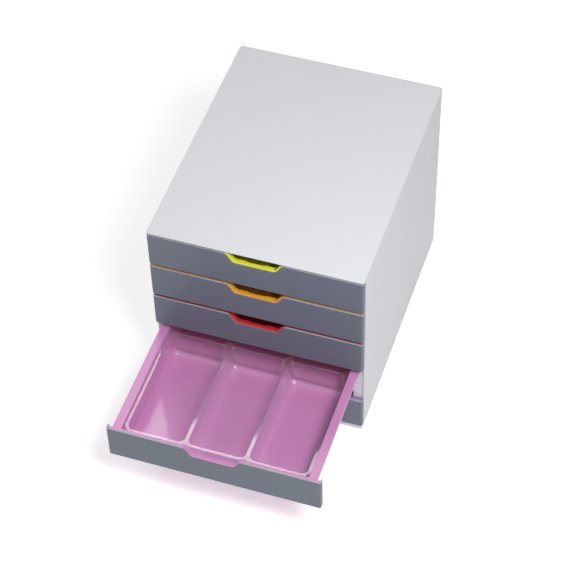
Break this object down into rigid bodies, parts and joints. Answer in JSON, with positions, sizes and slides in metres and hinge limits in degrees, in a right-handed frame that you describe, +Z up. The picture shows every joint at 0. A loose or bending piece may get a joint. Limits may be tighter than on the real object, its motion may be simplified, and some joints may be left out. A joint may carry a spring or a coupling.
{
  "type": "desktop file drawer",
  "caption": "Desktop file drawer: light grey casing with sliding coloured trays behind slate grey fronts with finger notches, one tray open with a clear organiser insert.",
  "frame": {"origin": "centre of the base plate's underside, midway between the casing's front and rear", "axes": "+X to the right seen from the front, +Y to the rear, +Z up; the drawers slide out along -Y"},
  "size_m": [0.28, 0.531, 0.292],
  "materials": {
    "casing_plastic": "satin light grey moulded plastic",
    "slate_plastic": "satin slate grey moulded plastic",
    "clear_plastic": "clear glossy plastic",
    "foot_rubber": "matt black rubber",
    "tray_yellow": "yellow moulded plastic with a soft sheen",
    "tray_orange": "orange moulded plastic with a soft sheen",
    "tray_red": "red moulded plastic with a soft sheen",
    "tray_orchid": "orchid moulded plastic with a soft sheen",
    "tray_violet": "violet moulded plastic with a soft sheen"
  },
  "bodies": {
    "casing": {"housing_shell": "casing_plastic", "back_panel": "casing_plastic", "base_plate": "casing_plastic", "runner_panel_left": "casing_plastic", "runner_panel_right": "casing_plastic", "foot_front_left": "foot_rubber", "foot_front_right": "foot_rubber", "foot_rear_left": "foot_rubber", "foot_rear_right": "foot_rubber"},
    "drawer_1": {"tray_1": "tray_yellow", "front_1": "slate_plastic"},
    "drawer_2": {"tray_2": "tray_orange", "front_2": "slate_plastic"},
    "drawer_3": {"tray_3": "tray_red", "front_3": "slate_plastic"},
    "drawer_4": {"tray_4": "tray_orchid", "front_4": "slate_plastic", "organiser_insert": "clear_plastic"},
    "drawer_5": {"tray_5": "tray_violet", "front_5": "slate_plastic"}
  },
  "joints": [
    {"name": "drawer_1_slide", "type": "slide", "parent": "casing", "child": "drawer_1", "axis": [0, -1, 0], "range_m": [0, 0.24]},
    {"name": "drawer_2_slide", "type": "slide", "parent": "casing", "child": "drawer_2", "axis": [0, -1, 0], "range_m": [0, 0.24]},
    {"name": "drawer_3_slide", "type": "slide", "parent": "casing", "child": "drawer_3", "axis": [0, -1, 0], "range_m": [0, 0.24]},
    {"name": "drawer_4_slide", "type": "slide", "parent": "casing", "child": "drawer_4", "axis": [0, -1, 0], "range_m": [-0.175, 0.065]},
    {"name": "drawer_5_slide", "type": "slide", "parent": "casing", "child": "drawer_5", "axis": [0, -1, 0], "range_m": [0, 0.24]}
  ]
}
